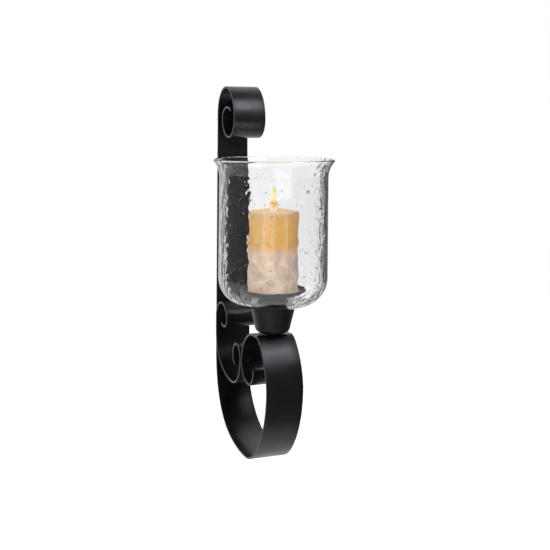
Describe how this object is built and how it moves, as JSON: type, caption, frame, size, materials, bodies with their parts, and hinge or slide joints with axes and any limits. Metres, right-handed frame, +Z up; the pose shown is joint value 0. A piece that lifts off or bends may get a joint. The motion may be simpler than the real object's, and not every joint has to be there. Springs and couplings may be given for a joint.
{
  "type": "wall sconce candle holder",
  "caption": "Scrolled flat-bar wall bracket with a cup that holds a clear hurricane shade and a pillar candle on a pedestal pan.",
  "frame": {"origin": "the keyhole the sconce hangs by, on the wall face of the back strap, on the strap's centre line", "axes": "+Z up, -Y out of the wall towards the room, +X to the right of someone facing the wall; the wall is the plane y = 0"},
  "size_m": [0.1658, 0.2509, 0.5334],
  "materials": {
    "black_iron": "satin black powder coat on flat bar, faint orange peel",
    "black_rivets": "satin black over domed steel",
    "black_cup": "satin black paint on spun steel",
    "black_pan": "satin black paint on spun steel",
    "brass": "dull brass",
    "steel": "zinc plated",
    "felt": "pressed black felt",
    "clear_glass": "clear wavy glass with small seeds",
    "wax": "mottled honey wax, glowing amber near the flame",
    "wick": "charred cotton"
  },
  "bodies": {
    "bracket": {"main_band": "black_iron", "brace_scroll": "black_iron", "strap_rivet_left": "black_rivets", "strap_rivet_right": "black_rivets", "scroll_rivet_left": "black_rivets", "scroll_rivet_right": "black_rivets", "cup_spacer": "brass", "cup": "black_cup", "cup_screw": "steel", "cup_screw_washer": "steel", "cup_screw_nut": "steel", "cup_gasket": "felt"},
    "shade": {"glass_shade": "clear_glass"},
    "pan": {"candle_pan": "black_pan", "pan_stem": "black_pan", "pan_screw": "steel"},
    "candle": {"candle": "wax", "wick": "wick"}
  },
  "joints": [
    {"name": "shade_lift", "type": "slide", "parent": "bracket", "child": "shade", "axis": [0, 0, 1], "range_m": [0, 0.06]},
    {"name": "pan_lift", "type": "slide", "parent": "shade", "child": "pan", "axis": [0, 0, 1], "range_m": [0, 0.25]},
    {"name": "candle_lift", "type": "slide", "parent": "pan", "child": "candle", "axis": [0, 0, 1], "range_m": [0, 0.19]}
  ]
}
